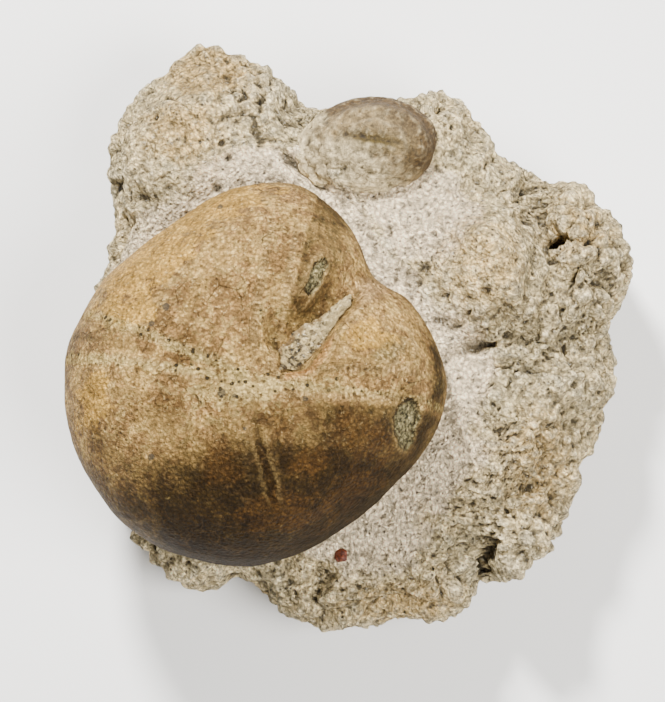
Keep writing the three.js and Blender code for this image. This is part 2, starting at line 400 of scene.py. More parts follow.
def stone_relief(places, roughness):
    """How far the stone's skin stands out from its plain form."""
    x, y, z = places.T
    wander = ripple(places, 5.0, 2, seed=5.1)
    calm = lying_on(CALM_GROUND, x, y, wander) * ease(13, 19, z)
    grainy = lying_on(GRAINY_GROUND, x, y, wander)
    flaky = lying_on(FLAKY_GROUND, x, y, wander) * ease(12, 18, z) * (1 - grainy)
    rough = (1 - 0.85 * chalkiness(places)) * (1 - 0.65 * calm * (1 - grainy))
    winding = stray(places, 2.6, 0.5)
    layered = stray(places, 3.0, 0.7) * (0.4, 1.6, 1.2)
    lumps = 1.2 * ripple(places, 7.5, 2, seed=2.2) + 0.9 * ripple(places, 3.4, 2, seed=14.2)
    big, small = cobbles(winding, 2.4, seed=1.3) - 0.6, cobbles(winding, 1.3, seed=8.1) - 0.6
    knobs = (1.0 - 0.6 * flaky) * (cobbles(stray(places, 4.0, 1.0), 4.6, seed=6.2) - 0.6)
    beads = cobbles(stray(places, 2.0, 0.3), 1.9, seed=4.4) - 0.6
    heap = 0.7 * big + 0.6 * small + 1.6 * grainy * beads
    layers = 1.1 * ledges(layered, 2.2, seed=12.4)
    flakes = layers + 1.2 * (crests(layered, 2.1, 3, seed=3.1) - 0.5) + 0.3 * small
    pocks = ease(0.4, 0.7, ripple(places, 1.5, 2, seed=9.4))
    share = 0.35 + 0.65 * rough
    return (lumps * share
            + roughness * rough * (knobs + (1 - flaky) * heap + flaky * flakes)
            - 0.6 * pocks * share
            + (0.12 + 0.2 * rough) * (crests(places, 1.3, 3, seed=7.7) - 0.5))


# ---- The urchin's test ----
TEST = {"equator": 24.8, "dome": 15.2, "belly": 12.0, "roundness": 0.88, "lean": (1.6, -4.0)}
# The four petals: turn of the middle line in degrees, start and end from the apex, half width, clarity.
PETALS = [
    (82, 2.0, 21.0, 2.0, 1.0), (1.5, 2.6, 20.0, 2.1, 1.0), (-88, 1.6, 14.5, 2.1, 0.2),
    (162, 2.0, 19.0, 2.0, 0.8),
]
PORE_STEP = 0.6
PLATE_EDGE = 79  # the turn of the edge of the plates beside the far petal
GROOVE = {"from": (3.2, -1.2), "turn": 44.5, "bend": 0.0168, "turning": 5.5, "depth": 3.0, "bank": 3.9}
# Where the test's outer layer has broken away: place, reach each way, turn in degrees.
WINDOWS = [((17.3, -7.0), (1.35, 2.9), -8), ((7.2, 8.9), (2.5, 0.75), 66)]
# Stains, laid out in the same way.
OCHRE_STAINS = [
    ((-12, 11.5), (11, 5), 45), ((-5, 18), (9, 3.4), 20), ((-13, 5), (4, 2), 20), ((-18, -5), (2.4, 4), 0),
    ((13, 2.2), (3.4, 2.2), 0), ((-15, 13), (7, 2.6), 45),
]
RUST_STAINS = [
    ((2.6, -7.6), (3.2, 1.9), -15), ((12.4, -9.4), (4.2, 2.8), -30), ((-6.9, 0.4), (2.8, 2.2), 0),
    ((-9.6, -5.6), (2.6, 1.4), 0), ((-17.4, -9.5), (1.4, 3), 20), ((3, -17.5), (6, 2.6), 8),
    ((11, -14.4), (5, 2.2), 38), ((-3.4, -12.4), (2.4, 3.4), 20), ((6.5, -12.6), (2.4, 2), 0),
]
# Painted shade along the test's right rim, partly its own darker colour too, laid out in the same way.
RIGHT_RIM_SHADE = [((21, -1.5), (1.6, 6), 0)]
# Pale bands from the apex: turn in degrees, width, strength at the apex and at the rim.
PALE_BANDS = [
    (169, 0.9, 1.0, 0.85), (155, 0.9, 1.0, 0.8), (-3.5, 0.75, 1.0, 0.75),
    (4, 0.8, 0.55, 0.3), (78, 1.1, 0.55, 0.2), (87, 0.9, 0.5, 0.25),
]
# Small dark marks: place on the stone, radius.
DARK_MARKS = [
    ((-18.6, 1.5), 0.42), ((-20.1, -15.3), 0.36), ((-12.9, 14.2), 0.36), ((-20.2, -0.4), 0.34),
    ((-12.2, -8.6), 0.44), ((-10.8, -8.9), 0.22), ((-3.0, -9.2), 0.3), ((-9.6, -12.6), 0.2),
]


def test_places(directions, grow=0.0):
    """The test's plain form, grown outwards by grow."""
    rise = directions[:, 2]
    out = np.sqrt(np.maximum(0, 1 - rise * rise)) ** TEST["roundness"]
    angle = np.arctan2(directions[:, 1], directions[:, 0])
    reach = (test_radius(angle) + grow) * out
    lean = np.where(rise > 0, 1 - out, 0)
    x = reach * np.cos(angle) + TEST["lean"][0] * lean
    y = reach * np.sin(angle) + TEST["lean"][1] * lean
    height = np.where(rise > 0, TEST["dome"], TEST["belly"]) + grow
    z = TEST["equator"] + height * np.sign(rise) * np.abs(rise) ** TEST["roundness"]
    return np.stack([x + TEST_CENTRE[0], y + TEST_CENTRE[1], z], axis=1)


def groove_bend(along):
    """How far the groove's middle line bends aside, towards the test's far side at its end."""
    past = along - GROOVE["turning"]
    return GROOVE["bend"] * past * np.abs(past)


def groove_line(x, y):
    """A place along and across the front groove's middle line."""
    along, across = along_across(x, y, GROOVE["from"], GROOVE["turn"])
    return along, across - groove_bend(along)


def groove_width(along):
    """Half the width of the chalk on the front groove's floor."""
    return 0.3 + 1.6 * ease(-0.8, 1.8, along) * (1 - 0.75 * ease(3.0, 8.6, along))


def groove_depth(along, across):
    """The front groove's depth: a long rounded bank on its left, a short sharp one on its right."""
    start, level = ease(-1.2, 1.6, along), 1 - 0.55 * ease(6.5, 12.5, along)
    half = groove_width(along)
    left = 1 - ease(0.5 * half, half + GROOVE["bank"], across)
    right = 1 - ease(0.5 * half, half + 1.3, -across)
    end = 1 - ease(11.5, 16, along)
    return GROOVE["depth"] * start * level * end * np.where(across > 0, left, right)


def petal_of(x, y):
    """For each place on the test: along and across its nearest petal, and how clear the petal is there."""
    best = np.zeros((len(x), 3))
    for turn, start, end, half, clarity in PETALS:
        along, across = along_across(x, y, APEX, turn)
        half = half * (0.55 + 0.45 * ease(0, 8, along))
        inside = (1 - ease(0.92, 1.08, np.abs(across) / half)) * ease(start - 1, start + 1, along)
        inside = clarity * inside * (1 - ease(end - 3, end, along))
        better = inside > best[:, 2]
        best[better] = np.stack([along, across / half, inside], axis=1)[better]
    return best


def window_of(x, y, wander):
    """1 inside the places where the test's outer layer has broken away."""
    broken = [1 - ease(0.88, 1.06, patch(x, y, *window) + 0.25 * wander) for window in WINDOWS]
    return np.max(broken, axis=0)


def window_edge(x, y, wander):
    """The dark crack along the far edge of each of those places."""
    edges = []
    for at, reach, turn in WINDOWS:
        far = patch(x, y, at, reach, turn) + 0.25 * wander
        edges.append(bell((far - 1.0) / 0.11) * ease(-0.3, 0.5, (x - at[0]) * 0.5 + (y - at[1]) * 0.6))
    return np.max(edges, axis=0)


def test_relief(places, petal_depth):
    """How far the test's skin stands out from its plain form."""
    x, y = from_centre(places, TEST_CENTRE)
    top = ease(24, 28, places[:, 2])
    along, across = groove_line(x, y)
    half = groove_width(along)
    petal = petal_of(x, y)
    wander = ripple(places, 1.6, 3, seed=7.0)
    edge = bell((np.abs(petal[:, 1]) - 1) / 0.2) * ease(2, 6, petal[:, 0])
    edge = edge * (1 - ease(15, 19, petal[:, 0]))
    furrow_along, furrow_across = along_across(x, y, (0.3, -7.2), -76)
    furrow = bell((furrow_across + 0.3 * wander) / 0.42)
    furrow = furrow * ease(0, 2, furrow_along) * (1 - ease(8.5, 11, furrow_along))
    side_along, side_across = along_across(x, y, APEX, PLATE_EDGE)
    step = ease(-1.55, -1.8, side_across) * ease(6, 9, side_along)
    crest = bell((across - half - GROOVE["bank"] - 0.5) / 1.3) * ease(1, 4, along)
    crest = crest * (1 - ease(12, 16, along))
    streaks = bell((across - half - 1.2 - 0.4 * wander) / 0.3)
    streaks = streaks + bell((across - half - 2.6 + 0.5 * wander) / 0.35)
    streaks = streaks * ease(1, 3, along) * (1 - ease(8, 11, along))
    lip = bell((across + half + 1.3) / 0.5) * ease(-1, 1, along) * (1 - ease(7, 10, along))
    saddle = bell(patch(x, y, (13.4, 8.4), (2.6, 1.9), 45))
    worn = bell(np.hypot((x - 0.4) / 6.5, (y + 3.9) / 3.4))
    ribs = 0.14 * edge * petal[:, 2] - 0.42 * furrow - 0.14 * step + 0.45 * crest - 0.16 * streaks
    return (-groove_depth(along, across) * top
            - petal_depth * petal[:, 2] * bell(petal[:, 1] / 0.8) * top
            + (ribs + 0.3 * lip) * top
            - (0.42 * window_of(x, y, wander) + 0.25 * window_edge(x, y, wander)) * top
            + (0.5 * saddle + 0.18 * worn) * (crests(places, 1.3, 3, seed=2.4) - 0.4) * top
            + 0.2 * ripple(places, 7.0, 2, seed=1.1) + 0.05 * wander)


def test_marks(places, hollow):
    """The values that the test's material reads."""
    x, y = from_centre(places, TEST_CENTRE)
    wander = ripple(places, 2.6, 4, seed=11.0)
    fine = ripple(places, 1.6, 3, seed=7.0)

    def stain(ovals):
        reach = [1 - ease(0.2, 1.4, patch(x, y, *oval) + 0.5 * wander) for oval in ovals]
        return np.max(reach, axis=0)

    # The dark tone: darker towards the lower right and the bottom, partly the test's own darker colour and
    # partly painted shade on the flanks that face away from the light.
    below = y + 0.5 * wander
    dark = np.maximum((0.52 + 0.2 * ease(5, 9, x)) * ease(-4.8, -6.2, below) * ease(0, 3, x),
                      1.1 * ease(-2.5, -16, below) * ease(-26, 3.5, x))
    dark = dark + 0.24 * ease(-8, -17, y)
    seam_along, seam_across = along_across(x, y, APEX, 162)
    seam = 0.4 * bell((seam_across + 0.2 * fine) / 0.6) * ease(8, 11, seam_along)
    # Darker beside the plate step by the far petal and along the right rim: partly the test's own colour and
    # partly painted shade.
    side_along, side_across = along_across(x, y, APEX, PLATE_EDGE)
    beside = ease(-1.5, -1.9, side_across) * ease(-7.5, -5, side_across) * ease(6, 9, side_along)
    dark = np.max([dark, seam, 0.58 * beside, 0.8 * stain(RIGHT_RIM_SHADE)], axis=0)
    star = bell(np.hypot((x + 0.8) / 7.6, (y + 4.2) / 2.6))
    for turn, wide, strong, faint in PALE_BANDS:
        along, across = along_across(x, y, APEX, turn)
        fade = ease(-1, 1, along) * (strong + (faint - strong) * ease(4, 19, along))
        star = np.maximum(star, bell(across / wide) * fade)
    along, across = groove_line(x, y)
    half = groove_width(along)
    lip = bell((across + half + 0.8 + 0.2 * fine) / 0.55) * ease(-1.6, 0, along) * (1 - ease(5, 8, along))
    # The groove's long bank is darker: partly its olive-brown streaks and partly painted shade on the wall
    # that faces away from the light, with a narrow painted shadow line beside the chalk.
    climb = across - half
    bank = ease(0.2, 0.9, climb + 0.8) * (1 - ease(3.4, 5.4, climb)) * ease(0.5, 2.5, along)
    bank = 0.3 * bank + 0.45 * bell((climb - 0.4) / 0.8) * ease(-0.5, 1.5, along)
    bank = bank * (0.75 + 0.5 * fine) * (1 - ease(10, 13, along))
    saddle = bell(patch(x, y, (13.2, 8.4), (3.0, 2.2), 45))
    lobe = patch(x, y, (14.6, 1.6), (4.0, 3.3), -20) + 0.12 * wander
    grey = 0.5 * (1 - ease(0.5, 1.3, patch(x, y, (15.4, 0.4), (1.9, 1.4), 60) + 0.5 * fine))
    return {
        "petal": petal_of(x, y),
        "tone": np.stack([stain(OCHRE_STAINS), stain(RUST_STAINS), np.maximum(dark, bank)], axis=1),
        "crack": window_edge(x, y, fine),
        "lip": lip,
        "worn": np.stack([star, np.maximum(window_of(x, y, fine), grey),
                          np.maximum(saddle, 0.5 * bell((lobe - 1) / 0.1))], axis=1),
        "hollow": hollow,
    }


# ---- The smaller pieces ----
COMPANION = {"at": (3.9, 24.0, 21.3), "reach": (8.7, 6.0, 6.2), "turn": 6, "lean": 11}
CRUST = {"from": -0.6, "to": 11.6, "thick": 0.42}  # along the groove, and half its thickness
GRAIN_REACH = (0.9, 0.8, 0.6)


def companion_places(directions, grow=0.0):
    """The smaller fossil's egg shape, leaning up to its right, grown outwards by grow."""
    shape = directions * (np.array(COMPANION["reach"]) + grow)
    shape[:, 1] *= 1 - 0.1 * ease(0, 9, -shape[:, 0])
    lean, turn = math.radians(COMPANION["lean"]), math.radians(COMPANION["turn"])
    x = shape[:, 0] * math.cos(lean) - shape[:, 2] * math.sin(lean)
    z = shape[:, 0] * math.sin(lean) + shape[:, 2] * math.cos(lean)
    y = shape[:, 1]
    return np.stack([
        COMPANION["at"][0] + x * math.cos(turn) - y * math.sin(turn),
        COMPANION["at"][1] + x * math.sin(turn) + y * math.cos(turn),
        COMPANION["at"][2] + z,
    ], axis=1)


def companion_wear(places):
    """1 on the smaller fossil's worn left and near parts, and 2 at their hem, where stone clings to it."""
    x, y = from_centre(places, COMPANION["at"])
    wander = ripple(places, 3.0, 3, seed=2.9)
    hem = ease(0.72, 0.95, patch(x, y, (0, 0), (8.7, 6.0), 6) + 0.12 * wander) * ease(1, -3, x + 0.8 * y)
    return ease(-0.3, 0.7, (-0.75 * x - 1.35 * y) / 8 + 0.35 * wander) + hem


def companion_relief(places):
    """Bands that follow the smaller fossil's far edge, a long furrow, and its worn parts."""
    x, y = from_centre(places, COMPANION["at"])
    wander = ripple(places, 2.2, 4, seed=6.3)
    wear = np.minimum(companion_wear(places), 1)
    ring = patch(x, y, (1.2, -1.2), (7.2, 6.0), 6)
    bands = np.sin((ring + 0.1 * wander) * 17) * ease(0.3, 0.6, ring)
    along, across = along_across(x, y, (-3.6, 0.4), -9)
    furrow = bell((across + 0.35 * wander) / 0.5) * ease(0, 1.5, along) * (1 - ease(7, 9, along))
    return (0.18 * bands * (1 - 0.5 * wear) - 0.42 * furrow + 0.3 * wander * (0.6 + 0.8 * wear)
            + 0.35 * wear * (cobbles(places, 1.5, seed=3.3) - 0.6))


def crust_places(directions):
    """The chalk on the front groove's floor: a long drop that narrows towards the notch."""
    along = CRUST["from"] + (CRUST["to"] - CRUST["from"]) * (directions[:, 0] + 1) / 2
    half = (groove_width(along) + 0.2) * (1 - directions[:, 0] ** 4) ** 0.5
    half = half * (1 + 0.08 * np.sin(1.7 * along) + 0.05 * np.sin(4.1 * along + 1))
    spread = np.maximum(np.hypot(directions[:, 1], directions[:, 2]), 1e-6)
    across = half * directions[:, 1] / spread
    aside = across + groove_bend(along)
    turn = math.radians(GROOVE["turn"])
    x = GROOVE["from"][0] + along * math.cos(turn) - aside * math.sin(turn)
    y = GROOVE["from"][1] + along * math.sin(turn) + aside * math.cos(turn)
    z = test_height(x, y) - groove_depth(along, 0 * along) - 0.16 * across + 0.12
    z = z + CRUST["thick"] * directions[:, 2] / spread
    return np.stack([TEST_CENTRE[0] + x, TEST_CENTRE[1] + y, z], axis=1)


def crust_relief(places):
    """Small lumps on the chalk."""
    return 0.15 * (cobbles(places, 0.8, seed=2.0) - 0.6) + 0.22 * ripple(places, 1.3, 3, seed=5.0)


def test_height(x, y):
    """The height of the test's plain dome over a place, by closing in on it from the dome's own form."""
    reach = np.hypot(x, y)
    out = np.minimum(reach / test_radius(np.arctan2(y, x)), 0.999)
    for _ in range(12):
        lean = 1 - out
        bx, by = x - TEST["lean"][0] * lean, y - TEST["lean"][1] * lean
        out = np.minimum(np.hypot(bx, by) / test_radius(np.arctan2(by, bx)), 0.999)
    rise = np.sqrt(1 - out ** (2 / TEST["roundness"]))
    return TEST["equator"] + TEST["dome"] * rise ** TEST["roundness"]


# ---- Shader building ----

def tint(code):
    """A colour picked by its six-figure screen code, as the linear values that shaders use."""
    parts = [int(code[i:i + 2], 16) / 255 for i in (0, 2, 4)]
    return tuple(p / 12.92 if p <= 0.04045 else ((p + 0.055) / 1.055) ** 2.4 for p in parts) + (1.0,)


class Level:
    """A value, place or colour in a shader's tree. Arithmetic on a value adds Math nodes to the tree."""

    def __init__(self, socket):
        self.socket = socket

    def __add__(self, other):
        return maths("ADD", self, other)

    def __sub__(self, other):
        return maths("SUBTRACT", self, other)

    def __rsub__(self, other):
        return maths("SUBTRACT", other, self)

    def __mul__(self, other):
        return maths("MULTIPLY", self, other)

    def __abs__(self):
        return maths("ABSOLUTE", self)


def plug(source, socket):
    """Links a level to a socket, or sets the socket to a plain value."""
    if isinstance(source, Level):
        socket.id_data.links.new(source.socket, socket)
    else:
        socket.default_value = source


def put(kind, inputs, tree=None, **settings):
    """Adds a node with its settings and inputs, in the tree of its inputs if none is given."""
    if tree is None:
        tree = next(source.socket.id_data for source in inputs.values() if isinstance(source, Level))
    made = tree.nodes.new("ShaderNode" + kind)
    for key, value in settings.items():
        setattr(made, key, value)
    for key, source in inputs.items():
        plug(source, made.inputs[key])
    return made


def maths(operation, a, b=0.0, c=0.0, clamp=False):
    """One calculation on up to three values, kept between 0 and 1 if clamped."""
    return Level(put("Math", {0: a, 1: b, 2: c}, operation=operation, use_clamp=clamp).outputs[0])


def plus_times(base, value, times):
    """A base with so many times a value added."""
    return maths("MULTIPLY_ADD", value, times, base)


def vector(operation, inputs, result="Vector"):
    """One calculation on places or colours."""
    return Level(put("VectorMath", inputs, operation=operation).outputs[result])


def between(value, low, high):
    """0 below low, 1 above high, smooth between."""
    inputs = {"Value": value, "From Min": low, "From Max": high}
    return Level(put("MapRange", inputs, interpolation_type="SMOOTHSTEP").outputs["Result"])


def spread(value, low, high):
    """Low where a value is 0, high where it is 1, in proportion between."""
    return Level(put("MapRange", {"Value": value, "To Min": low, "To Max": high}).outputs["Result"])


def mix(factor, a, b):
    """Colour a where the factor is 0, colour b where it is 1."""
    return Level(put("Mix", {0: factor, 6: a, 7: b}, data_type="RGBA").outputs[2])


def laid(colour, mask, share, code):
    """A colour with a share of another laid over it where a mask is 1."""
    return mix(mask * share, colour, tint(code))


def cloud(place, size, detail=4.0, rough=0.55, warp=0.0):
    """Cloudy noise, 0 to 1, with blotches of that size in millimetres."""
    inputs = {"Vector": place, "Scale": 1 / size, "Detail": detail, "Roughness": rough, "Distortion": warp}
    return Level(put("TexNoise", inputs).outputs["Fac"])


def ridges(place, size):
    """Sharp winding ridges of that size: near 0 in the hollows, about 1 and more on the crests."""
    made = put("TexNoise", {"Vector": place, "Scale": 1 / size, "Detail": 4.0, "Roughness": 0.6,
                            "Lacunarity": 2.1, "Offset": 1.0, "Gain": 1.6, "Distortion": 0.4},
               noise_type="RIDGED_MULTIFRACTAL", normalize=False)
    return Level(made.outputs["Fac"]) * 0.45


def grains(place, size):
    """The distance to the nearest grain's middle, and a value of its own for each grain."""
    made = put("TexVoronoi", {"Vector": place, "Scale": 1 / size})
    shade = put("SeparateColor", {"Color": Level(made.outputs["Color"])})
    return Level(made.outputs["Distance"]), Level(shade.outputs["Red"])


def shifted(place, size, reach):
    """A place shifted about by noise of that size."""
    cloudy = Level(put("TexNoise", {"Vector": place, "Scale": 1 / size, "Detail": 3.0}).outputs["Color"])
    about = vector("SUBTRACT", {0: cloudy, 1: (0.5, 0.5, 0.5)})
    return vector("MULTIPLY_ADD", {0: about, 1: (reach, reach, reach), 2: place})


def drawn_place(tree):
    """The place on the object, in drawn millimetres."""
    here = Level(put("TexCoord", {}, tree).outputs["Object"])
    return vector("SCALE", {0: vector("SUBTRACT", {0: here, 1: tuple(ORIGIN)}), "Scale": 1 / UNIT})


def read_mark(tree, mark):
    """A single stored value."""
    return Level(put("Attribute", {}, tree, attribute_name=mark).outputs["Fac"])


def read_marks(tree, mark):
    """Three values stored together."""
    made = put("Attribute", {}, tree, attribute_name=mark)
    parts = put("SeparateXYZ", {0: Level(made.outputs["Vector"])}).outputs
    return [Level(part) for part in parts]


def group_of(name, inputs, outputs):
    """An empty node group with those sockets, and its inner ends."""
    tree = bpy.data.node_groups.new(name, "ShaderNodeTree")
    for way, sockets in (("INPUT", inputs), ("OUTPUT", outputs)):
        for label, kind in sockets.items():
            tree.interface.new_socket(label, in_out=way, socket_type="NodeSocket" + kind)
    given = {socket.name: Level(socket) for socket in tree.nodes.new("NodeGroupInput").outputs}
    return tree, given, tree.nodes.new("NodeGroupOutput").inputs


def mineral_grain():
    """The fine grain that all the stones share: dark specks, pale flecks, a mottle and a grain height."""
    if "mineral_grain" in bpy.data.node_groups:
        return bpy.data.node_groups["mineral_grain"]
    tree, given, wanted = group_of(
        "mineral_grain",
        {"Place": "Vector", "Specks": "Float", "Flecks": "Float"},
        {"Specks": "Float", "Flecks": "Float", "Mottle": "Float", "Height": "Float"})
    far, own = grains(given["Place"], 0.62)
    specks = (1 - between(far, 0.16, 0.36)) * between(own + given["Specks"], 0.94, 1.0)
    dust = cloud(given["Place"], 0.42, detail=3.0, rough=0.7, warp=0.6)
    crumb = grains(given["Place"], 0.5)[0]
    mottle = between(plus_times(dust, crumb, -0.22), 0.2, 0.56)
    plug(specks, wanted["Specks"])
    plug(between(dust + given["Flecks"], 0.6, 0.72), wanted["Flecks"])
    plug(mottle, wanted["Mottle"])
    plug(mottle * 0.8 - specks, wanted["Height"])
    return tree


def small_spot():
    """A small round mark with a broken edge."""
    if "small_spot" in bpy.data.node_groups:
        return bpy.data.node_groups["small_spot"]
    tree, given, wanted = group_of(
        "small_spot", {"Place": "Vector", "Centre": "Vector", "Radius": "Float"}, {"Mask": "Float"})
    away = vector("SUBTRACT", {0: given["Place"], 1: given["Centre"]})
    far = vector("LENGTH", {0: vector("MULTIPLY", {0: away, 1: (1, 1, 0)})}, "Value")
    ragged = plus_times(far, cloud(given["Place"], 0.4), 0.5)
    edge = given["Radius"] + 0.32
    plug(1 - between(ragged, edge - 0.12, edge), wanted["Mask"])
    return tree


def grain_node(place, specks, flecks):
    """The shared grain at a place, with more or fewer specks and flecks."""
    made = put("Group", {"Place": place, "Specks": specks, "Flecks": flecks}, place.socket.id_data,
               node_tree=mineral_grain())
    return {socket.name: Level(socket) for socket in made.outputs}


def spot_mask(place, spots):
    """One mask for several small spots: each a place in drawn millimetres and a radius."""
    mask = 0.0
    for (x, y), radius in spots:
        made = put("Group", {"Place": place, "Centre": (x, y, 0.0), "Radius": radius},
                   place.socket.id_data, node_tree=small_spot())
        mask = maths("MAXIMUM", mask, Level(made.outputs["Mask"]))
    return mask


def new_material(name):
    """An empty material with its tree and its Principled shader."""
    material = bpy.data.materials.new(name)
    material.use_nodes = True
    return material, material.node_tree, material.node_tree.nodes["Principled BSDF"]


def finish_skin(shader, colour, roughness, height, depth, specular=0.35):
    """Plugs a colour, a roughness and a bump of that depth in millimetres into the shader."""
    plug(colour, shader.inputs["Base Color"])
    plug(roughness, shader.inputs["Roughness"])
    shader.inputs["Specular IOR Level"].default_value = specular
    bump = put("Bump", {"Height": height, "Distance": depth * UNIT, "Strength": 1.0})
    plug(Level(bump.outputs["Normal"]), shader.inputs["Normal"])


def shaded(colour, value, low, high):
    """A colour made darker or paler by a value: times low where it is 0, times high where it is 1."""
    return vector("SCALE", {0: colour, "Scale": spread(value, low, high)})


def shade_hollows(colour, hollow, dark, depth, strength, light=None):
    """Lays painted shade on a colour in its hollows and, if given a light colour, a painted highlight on its
    crowns.
    """
    colour = laid(colour, between(hollow, 0.0, depth), strength, dark)
    if light is None:
        return colour
    return laid(colour, between(hollow, 0.0, -depth), 0.4 * strength, light)


def limestone(cream, chalk_white):
    """Cream limestone, stained like tea and chalky beside the fossils, with painted shade in its hollows,
    pits, plate steps and creases, and painted highlights on its crests and crowns.
    """
    material, tree, shader = new_material("pale_limestone")
    place = drawn_place(tree)
    hollow = read_mark(tree, "hollow")
    chalk, stain, deep = read_marks(tree, "ground")
    broad = cloud(place, 6.0, detail=5.0)
    middle = cloud(place, 1.5, detail=6.0, rough=0.68, warp=0.5)
    shell = ridges(place, 0.85)
    crumb, own = grains(shifted(place, 1.6, 0.8), 1.25)
    crown = between(crumb, 0.75, 0.1)
    flake = cloud(place, 1.1, detail=3.0, rough=0.5, warp=1.2)
    plate = between(flake, 0.47, 0.52)
    plate_edge = between(abs(flake - 0.47), 0.025, 0.005)
    grain = grain_node(place, middle * 0.42, 0.03)
    colour = mix(between(broad, 0.36, 0.64), cream, tint("e4ce9b"))
    colour = laid(colour, between(middle, 0.5, 0.64), 0.6, "f8e4b2")
    ragged = plus_times(chalk, middle - 0.5, 1.6)
    colour = mix(between(ragged, 0.15, 0.9) * 0.85, colour, chalk_white)
    colour = laid(colour, between(plus_times(stain, middle, 1.4), 0.8, 1.3), 0.75, "dfb56c")
    # Painted shade in the hollows and a painted highlight on the crowns, then painted shade in the broad
    # hollows.
    colour = shade_hollows(colour, hollow, "3d3425", 0.26, 0.9, "fff0c8")
    colour = shade_hollows(colour, deep, "857654", 1.6, 0.3)
    # Painted shade in the small pits that the bump sinks.
    pits = between(plus_times(middle, shell, 0.2), 0.5, 0.4)
    colour = laid(colour, pits, 0.5, "7a705c")
    rugged = 1 - chalk * 0.7
    # Painted shade along the steps at the edges of the flaky plates.
    colour = laid(colour, plate_edge * rugged, 0.5, "6a604e")
    # Painted light on the bump's own relief: shelly crests and grain crowns paler, painted shade in the
    # creases between them.
    colour = shaded(colour, between(shell, 0.25, 0.75), 0.7, 1.26)
    chip, chip_own = grains(shifted(place, 0.8, 0.7), 0.5)
    colour = shaded(colour, between(chip, 0.62, 0.3), 0.74, 1.12)
    colour = shaded(colour, chip_own, 0.88, 1.2)
    colour = shaded(colour, maths("MAXIMUM", crown, chalk * 0.75), 0.72, 1.2)
    colour = shaded(colour, own, 0.93, 1.06)
    colour = shaded(colour, grain["Mottle"], 0.72, 1.15)
    colour = laid(colour, grain["Specks"], 0.8, "454036")
    colour = laid(colour, grain["Flecks"], 0.35, "fff6e0")
    height = plus_times(grain["Height"], middle, 2.6) - chip
    height = height + (shell - pits) * 1.1
    height = height + (plate + crown) * rugged
    finish_skin(shader, colour, 0.92, height, 0.52, specular=0.2)
    return material


